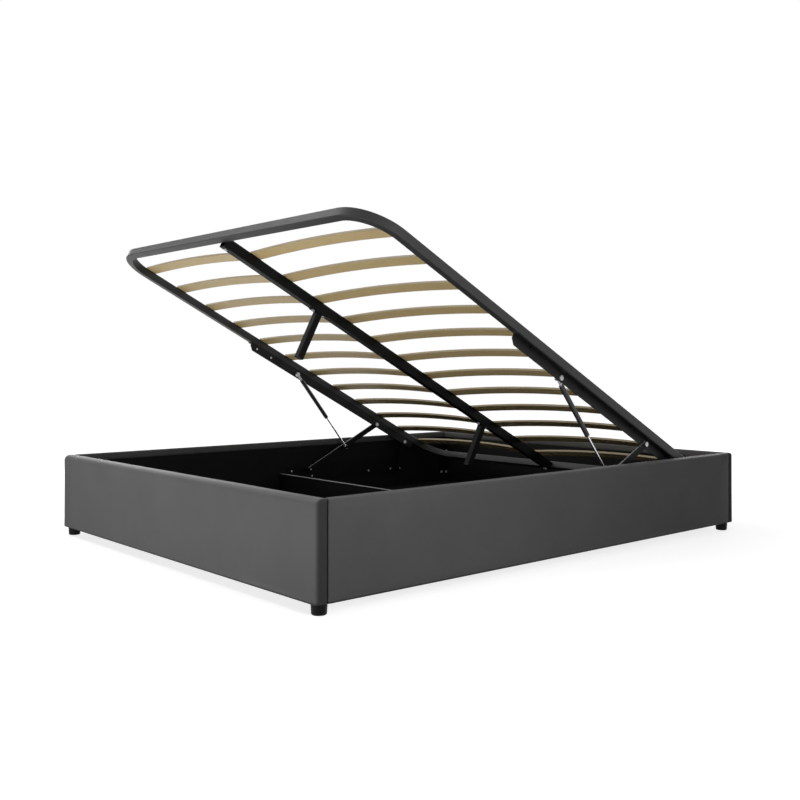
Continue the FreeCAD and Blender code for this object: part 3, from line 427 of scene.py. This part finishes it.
def zinc_plate():
    # Zinc-plated steel: blue-grey metal with small crystals and dull handling marks.
    crystal_mm = 3.0
    mark_mm = 8
    material, tree, shader, coords = surface("bright_zinc_plated_steel")
    crystals = add(tree, "ShaderNodeTexVoronoi", {"Scale": per_metre(crystal_mm)},
                   {"Vector": coords})
    marks = add(tree, "ShaderNodeTexNoise", {"Scale": per_metre(mark_mm), "Detail": 3.0},
                {"Vector": coords})
    tone = add(tree, "ShaderNodeMix",
               {"data_type": "RGBA", COLOUR_A: linear("#b0b2b4"), COLOUR_B: linear("#c6c8ca")},
               {SHARE: marks.outputs["Fac"]})
    gloss = add(tree, "ShaderNodeMapRange", {"To Min": 0.38, "To Max": 0.56},
                {"Value": crystals.outputs["Distance"]})
    dress(tree, shader, tone, gloss, None, {"Metallic": 1.0})
    return material


def chrome_rod():
    # Hard-chromed, ground and polished rod steel: mirror bright, with a faint cloudiness from
    # the polishing.
    polish_mm = 5
    material, tree, shader, coords = surface("hard_chromed_rod_steel")
    polish = add(tree, "ShaderNodeTexNoise", {"Scale": per_metre(polish_mm), "Detail": 2.0},
                 {"Vector": coords})
    tone = add(tree, "ShaderNodeMix",
               {"data_type": "RGBA", COLOUR_A: linear("#d2d3d5"), COLOUR_B: linear("#e2e3e4")},
               {SHARE: polish.outputs["Fac"]})
    gloss = add(tree, "ShaderNodeMapRange", {"To Min": 0.16, "To Max": 0.26},
                {"Value": polish.outputs["Fac"]})
    dress(tree, shader, tone, gloss, None, {"Metallic": 1.0})
    return material


def moulded_plastic():
    # Injection-moulded polypropylene: even black, a slight waxy gloss and the fine spark
    # texture of its mould, drawn at 1.2 mm so that it shows.
    spark_mm = 1.2
    spark_depth_mm = 0.15
    flow_mm = 25
    material, tree, shader, coords = surface("black_moulded_polypropylene")
    spark = add(tree, "ShaderNodeTexNoise", {"Scale": per_metre(spark_mm), "Detail": 2.0},
                {"Vector": coords})
    flow = add(tree, "ShaderNodeTexNoise", {"Scale": per_metre(flow_mm), "Detail": 2.0},
               {"Vector": coords})
    tone = add(tree, "ShaderNodeMix",
               {"data_type": "RGBA", COLOUR_A: linear("#070708"), COLOUR_B: linear("#0e0e0f")},
               {SHARE: flow.outputs["Fac"]})
    gloss = add(tree, "ShaderNodeMapRange", {"To Min": 0.32, "To Max": 0.46},
                {"Value": flow.outputs["Fac"]})
    relief = add(tree, "ShaderNodeBump", {"Strength": 0.15, "Distance": spark_depth_mm * MM},
                 {"Height": spark.outputs["Fac"]})
    dress(tree, shader, tone, gloss, relief, {"Specular IOR Level": 0.1})
    return material


def slat_span(node):
    """Middle and half width of a slat row along the tilted platform."""
    runs = [vert.co.y * math.cos(PLATFORM_TILT) - vert.co.z * math.sin(PLATFORM_TILT)
            for vert in frame["nodes"][node].data.vertices]
    return (min(runs) + max(runs)) / 2, (max(runs) - min(runs)) / 2


def slat_edge_shade(tree, level):
    """One on the long edges of the slats, which get painted shade, and nought on their faces."""
    edge_start_mm = 1.2
    edge_full_mm = 0.3
    rows = sorted(name for name in frame["nodes"] if name.startswith("slat_row_"))
    first, half_width = slat_span(rows[0])
    last, _ = slat_span(rows[-1])
    pitch = abs(last - first) / (len(rows) - 1)
    run = add(tree, "ShaderNodeSeparateXYZ", None, {"Vector": level})
    from_first = add(tree, "ShaderNodeMath", {"operation": "SUBTRACT", 1: first},
                     {0: run.outputs["Y"]})
    from_middle = add(tree, "ShaderNodeMath", {"operation": "PINGPONG", 1: pitch / 2},
                      {0: from_first.outputs[0]})
    edge = add(tree, "ShaderNodeMapRange",
               {"From Min": half_width - edge_start_mm * MM,
                "From Max": half_width - edge_full_mm * MM},
               {"Value": from_middle.outputs[0]})
    return edge.outputs["Result"]


def lacquered_slat():
    # Birch and beech veneers pressed to a bow and sealed with a thin matt lacquer: warm tan
    # with long fine grain along the slat, small dark flecks, and some tone between slats. The
    # long edges are painted darker than the faces: painted shade.
    grain_depth_mm = 0.3
    # length along the slat and width across it of each pattern
    patterns_mm = {"grain": (170, 3.2), "fleck": (9, 1.1), "between": (900, 110)}
    details = {"grain": 4.0, "fleck": 1.0, "between": 1.0}
    waves = {"grain": 0.4, "fleck": 0.0, "between": 0.0}
    material, tree, shader, coords = surface("lacquered_laminated_slat")
    level = add(tree, "ShaderNodeMapping", {"Rotation": (PLATFORM_TILT, 0, 0)},
                {"Vector": coords}).outputs[0]
    pattern = {}
    for kind, (length_mm, width_mm) in patterns_mm.items():
        step = add(tree, "ShaderNodeMapping",
                   {"Scale": (per_metre(length_mm), per_metre(width_mm), per_metre(width_mm))},
                   {"Vector": level})
        noise = add(tree, "ShaderNodeTexNoise",
                    {"Scale": 1.0, "Detail": details[kind], "Distortion": waves[kind]},
                    {"Vector": step.outputs[0]})
        pattern[kind] = noise.outputs["Fac"]
    veneer = add(tree, "ShaderNodeMix",
                 {"data_type": "RGBA", COLOUR_A: linear("#e4c487"), COLOUR_B: linear("#f9dea5")},
                 {SHARE: pattern["grain"]})
    slat_tone = add(tree, "ShaderNodeMix",
                    {"data_type": "RGBA", COLOUR_A: linear("#e8ca8f"), COLOUR_B: linear("#fce4af")},
                    {SHARE: pattern["between"]})
    tone = add(tree, "ShaderNodeMix", {"data_type": "RGBA", SHARE: 0.45},
               {COLOUR_A: veneer.outputs[MIXED], COLOUR_B: slat_tone.outputs[MIXED]})
    spots = add(tree, "ShaderNodeMapRange",
                {"From Min": 0.62, "From Max": 0.74, "To Min": 0.0, "To Max": 0.4},
                {"Value": pattern["fleck"]})
    flecked = add(tree, "ShaderNodeMix", {"data_type": "RGBA", COLOUR_B: linear("#7d6844")},
                  {SHARE: spots.outputs["Result"], COLOUR_A: tone.outputs[MIXED]})
    # painted shade along the slats' long edges
    edge_shaded = add(tree, "ShaderNodeMix", {"data_type": "RGBA", COLOUR_B: linear("#948560")},
               {SHARE: slat_edge_shade(tree, level), COLOUR_A: flecked.outputs[MIXED]})
    gloss = add(tree, "ShaderNodeMapRange", {"To Min": 0.40, "To Max": 0.56},
                {"Value": pattern["grain"]})
    relief = add(tree, "ShaderNodeBump", {"Strength": 0.12, "Distance": grain_depth_mm * MM},
                 {"Height": pattern["grain"]})
    dress(tree, shader, edge_shaded, gloss, relief)
    return material


def planed_timber():
    # Planed pine left raw: pale straw colour with clear early and late wood bands along it.
    ring_mm = 14
    ring_length_mm = 220
    ring_depth_mm = 0.3
    material, tree, shader, coords = surface("raw_planed_pine")
    step = add(tree, "ShaderNodeMapping",
               {"Scale": (per_metre(ring_mm), per_metre(ring_length_mm), per_metre(ring_mm))},
               {"Vector": coords})
    rings = add(tree, "ShaderNodeTexNoise", {"Scale": 1.0, "Detail": 3.0, "Distortion": 0.8},
                {"Vector": step.outputs[0]})
    tone = add(tree, "ShaderNodeMix",
               {"data_type": "RGBA", COLOUR_A: linear("#a98d5f"), COLOUR_B: linear("#d3bc8d")},
               {SHARE: rings.outputs["Fac"]})
    gloss = add(tree, "ShaderNodeMapRange", {"To Min": 0.62, "To Max": 0.78},
                {"Value": rings.outputs["Fac"]})
    relief = add(tree, "ShaderNodeBump", {"Strength": 0.15, "Distance": ring_depth_mm * MM},
                 {"Height": rings.outputs["Fac"]})
    dress(tree, shader, tone, gloss, relief)
    return material


# Padded covers: foam and faux leather over the outer face, top and ends of each panel


def cut(body, place, normal):
    """A row of edges where a plane crosses the body."""
    bmesh.ops.bisect_plane(body, geom=body.verts[:] + body.edges[:] + body.faces[:],
                           plane_co=place, plane_no=normal)


def soften(body, edges, radius, steps):
    """Rounds some edges of the body."""
    bmesh.ops.bevel(body, geom=edges, offset=radius, segments=steps, profile=0.5,
                    affect="EDGES", material=-1)


def cover_body(length, thick, tall, edge_round, end_round, tuck):
    """A cover's closed body, with its length along X and its inner face at Y zero.

    Its outer face is towards +Y. Below the return at its inner top edge, its inner face lies
    inside the board, so the board shows there.
    """
    half = length / 2
    body = bmesh.new()
    bmesh.ops.create_cube(body, size=1)
    bmesh.ops.scale(body, vec=(length, thick - SWELL_ROOM, tall - SWELL_ROOM), verts=body.verts)
    bmesh.ops.translate(body, vec=(0, (thick - SWELL_ROOM) / 2, -SWELL_ROOM / 2), verts=body.verts)
    long_edges = [e for e in body.edges if abs(e.verts[0].co.x - e.verts[1].co.x) > half]
    upper = [e for e in long_edges if e.verts[0].co.z > 0]
    hem = [e for e in long_edges if e.verts[0].co.z < 0]
    outer = [e for e in upper if e.verts[0].co.y > thick / 2]
    inner = [e for e in upper if e.verts[0].co.y < thick / 2]
    soften(body, outer, edge_round, steps=5)
    soften(body, inner, RETURN_ROUND, steps=4)
    soften(body, hem, HEM_ROUND, steps=3)
    end_edges = [
        e for e in body.edges
        if all(abs(abs(v.co.x) - half) < SAME_PLACE for v in e.verts)
        and e.verts[0].co.x * e.verts[1].co.x > 0
    ]
    soften(body, end_edges, end_round, steps=4)

    # rows and columns for the cloth, the edges of the return and the painted hem shade's edge
    columns = int(length / ROW_STEP)
    for column in range(1, columns):
        along = -half + length * column / columns
        if abs(along) < half - (end_round + ROUND_GAP):
            cut(body, (along, 0, 0), (1, 0, 0))
    rows = int(tall / ROW_STEP)
    return_edge = tall / 2 - RETURN_DEPTH
    hem_shade_edge = -tall / 2 + HEM_SHADE_EDGE
    heights = [-tall / 2 + tall * row / rows for row in range(1, rows)]
    heights = [z for z in heights if abs(z - return_edge) > ROW_STEP / 3]
    for z in heights + [return_edge, return_edge - RETURN_LIP, hem_shade_edge]:
        if hem_shade_edge <= z < tall / 2 - (edge_round + ROUND_GAP):
            cut(body, (0, 0, z), (0, 0, 1))
    bmesh.ops.remove_doubles(body, verts=body.verts, dist=MERGE_GAP)

    # the inner face goes into the board below the return, and the ends are folded in
    for vert in body.verts:
        below_return = vert.co.z < return_edge - RECESS_START
        if abs(vert.co.x) < half - BOARD_END and below_return and vert.co.y < BOARD_RECESS:
            vert.co.y = BOARD_RECESS
        if tuck and abs(vert.co.x) > half - TUCK_REACH:
            inward = 1 - clamp(vert.co.y / thick)
            vert.co.x -= math.copysign(tuck * inward ** TUCK_CURVE, vert.co.x)
    bmesh.ops.recalc_face_normals(body, faces=body.faces)
    return body


def swell(piece, thick, tall):
    """Blows the cover up against its own fabric, held along the inner face and the underside."""
    held = piece.vertex_groups.new(name="held")
    still = [
        v.index for v in piece.data.vertices
        if v.co.y < HELD_DEPTH * thick or v.co.z < -tall / 2 + HELD_HEM
    ]
    held.add(still, 1.0, "REPLACE")
    before = [v.co.copy() for v in piece.data.vertices]
    cloth = piece.modifiers.new("foam_pressure", "CLOTH")
    for key, value in CLOTH_SETTINGS.items():
        setattr(cloth.settings, key, value)
    cloth.settings.effector_weights.gravity = 0.0
    cloth.settings.vertex_group_mass = "held"
    cloth.collision_settings.use_self_collision = False
    cloth.point_cache.frame_start = 1
    cloth.point_cache.frame_end = CLOTH_FRAMES
    for moment in range(1, CLOTH_FRAMES + 1):
        scene.frame_set(moment)
    depsgraph = bpy.context.evaluated_depsgraph_get()
    swollen = bpy.data.meshes.new_from_object(piece.evaluated_get(depsgraph))
    piece.modifiers.clear()
    scene.frame_set(1)
    reach = max(v.x for v in before)
    for vert, was, now in zip(piece.data.vertices, before, [v.co.copy() for v in swollen.vertices]):
        move = now - was
        if move.length > SWELL_CAP:
            move *= SWELL_CAP / move.length
        vert.co = was + move * clamp((reach - abs(was.x)) / CALM_END, CALM_SHARE)
    bpy.data.meshes.remove(swollen)


def shade_folds(data, length, thick, tall, tuck):
    """Marks how much painted shade each vertex gets: in the folds at the cover's ends, and black
    along its underside.
    """
    shade = data.attributes.new("fold", "FLOAT", "POINT")
    for vert, value in zip(data.vertices, shade.data):
        hem_shade = 1 - clamp((vert.co.z + tall / 2 - HEM_SHADE_TOP) / HEM_SHADE_BLUR)
        at_end = clamp((abs(vert.co.x) - length / 2 + tuck + FOLD_SHADE_START) / FOLD_SHADE_BLUR) if tuck else 0
        inward = 1 - clamp((vert.co.y / thick - FOLD_SHADE_FACE) / FOLD_SHADE_FADE)
        value.value = max(hem_shade, FOLD_SHADE_DARK * at_end * inward)


def padded_cover(node, turn_degrees, round_mm, end_round_mm, tuck_mm):
    """A closed soft body in the place of a CAD cover, swelled by a cloth simulation.

    It is built as cover_body says, then turned to its side of the bed.
    """
    low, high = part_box(node)
    turn = Matrix.Rotation(math.radians(turn_degrees), 4, "Z")
    spread = turn.inverted() @ (high - low)
    length, thick, tall = abs(spread.x), abs(spread.y), abs(spread.z)
    tuck = tuck_mm * MM
    body = cover_body(length, thick, tall, round_mm * MM, end_round_mm * MM, tuck)
    piece = new_piece(node + "_padded", body)
    swell(piece, thick, tall)
    data = piece.data
    shade_folds(data, length, thick, tall, tuck)
    data.transform(Matrix.Translation((low + high) / 2) @ turn
                   @ Matrix.Translation((0, -thick / 2, 0)))
    data.shade_smooth()
    smooth = piece.modifiers.new("smooth_skin", "SUBSURF")
    smooth.levels = 1
    smooth.render_levels = 1
    data.materials.append(FINISHES["upholstery"])
    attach(piece, "base")
    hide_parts(node)


# Small fastener heads


def fasteners(node):
    """The node's vertices in one group for each fastener."""
    groups = []
    for vert in frame["nodes"][node].data.vertices:
        near = [group for group in groups if (group[0] - vert.co).length < FASTENER_REACH]
        if near:
            near[0].append(vert.co)
        else:
            groups.append([vert.co])
    return groups


def round_heads(name, node, body, radius_mm, rise_mm, on_top):
    """Small pan heads at a node's fasteners, on their seats or, as pin points, on their heads."""
    radius = radius_mm * MM
    rise = rise_mm * MM
    heads = bmesh.new()
    for group in fasteners(node):
        low = Vector([min(point[axis] for point in group) for axis in range(3)])
        high = Vector([max(point[axis] for point in group) for axis in range(3)])
        if on_top and high.y - low.y < PIN_HEAD_LEAST:
            continue  # the pin's far end, out of sight in the board
        side = math.copysign(1, group[0].x)
        reach = [abs(point.x) for point in group]
        seat = min(reach) if on_top else max(reach)
        middle = (low + high) / 2
        middle.x = side * (seat - rise / 2)
        place = Matrix.Translation(middle) @ Matrix.Rotation(math.radians(-90 * side), 4, "Y")
        made = bmesh.ops.create_cone(heads, cap_ends=True, segments=HEAD_SIDES, radius1=radius,
                                     radius2=radius, depth=rise, matrix=place)
        top = side * (seat - rise)
        rim = {e for v in made["verts"] for e in v.link_edges
               if all(abs(end.co.x - top) < RIM_GAP for end in e.verts)}
        soften(heads, list(rim), HEAD_ROUND * rise, steps=3)
    bmesh.ops.recalc_face_normals(heads, faces=heads.faces)
    piece = new_piece(name, heads)
    piece.data.materials.append(FINISHES["zinc"])
    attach(piece, body)
    if not on_top:
        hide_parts(node)


photo_camera()
studio_floor()
white_surround()
for lamp_values in LAMPS:
    softbox(*lamp_values)

# Finish of each material slot, and of the pieces whose finish differs from their slot's
FINISHES = {
    "black_board": black_board("black_foiled_board", NO_HIGHLIGHT_LEVEL),
    "raw_timber": planed_timber(),
    "black_steel": powder_coat("black_powder_coated_steel", *BLACK_COAT),
    "satin_steel": powder_coat("grey_powder_coated_steel", "#303030", "#3c3c3c", shine=0.26),
    "zinc": zinc_plate(),
    "bright_rod": chrome_rod(),
    "black_plastic": moulded_plastic(),
    "slat_wood": lacquered_slat(),
    "upholstery": faux_leather(),
}
OWN_FINISHES = {
    # the divider, with a painted highlight along its top
    "divider_board": black_board("black_foiled_board_with_pale_edge",
                                 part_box("divider_board")[1].z - DIVIDER_HIGHLIGHT),
    "strut_cylinder": powder_coat("black_enamelled_cylinder", "#1c1c1c", "#262626", shine=0.5),
    "lift_rail": powder_coat("dark_grey_powder_coated_steel", "#161616", "#1e1e1e", shine=0.18),
    "front_arm": painted_highlight_bar(),
    "base_pivot_pins": FINISHES["black_steel"],
}

round_heads("plate_screws_pan_heads", "plate_screws", "base",
            radius_mm=4.6, rise_mm=2.6, on_top=False)
round_heads("rail_bolts_pan_heads", "rail_bolts", "platform",
            radius_mm=4.6, rise_mm=2.6, on_top=False)
round_heads("base_pivot_pin_points", "base_pivot_pins", "base",
            radius_mm=3.6, rise_mm=1.2, on_top=True)
padded_cover("foot_panel_cover", turn_degrees=180, round_mm=20, end_round_mm=9, tuck_mm=3)
padded_cover("head_panel_cover", turn_degrees=0, round_mm=12, end_round_mm=8, tuck_mm=3)
padded_cover("side_rail_cover_right", turn_degrees=-90, round_mm=10, end_round_mm=4, tuck_mm=0)
padded_cover("side_rail_cover_left", turn_degrees=90, round_mm=10, end_round_mm=4, tuck_mm=0)

node_slot = {part["node"]: part["material_slot"] for part in frame["record"]["subparts"]}
for name, piece in frame["nodes"].items():
    own = [finish for start, finish in OWN_FINISHES.items() if name.startswith(start)]
    piece.data.materials.clear()
    piece.data.materials.append(own[0] if own else FINISHES[node_slot[name]])
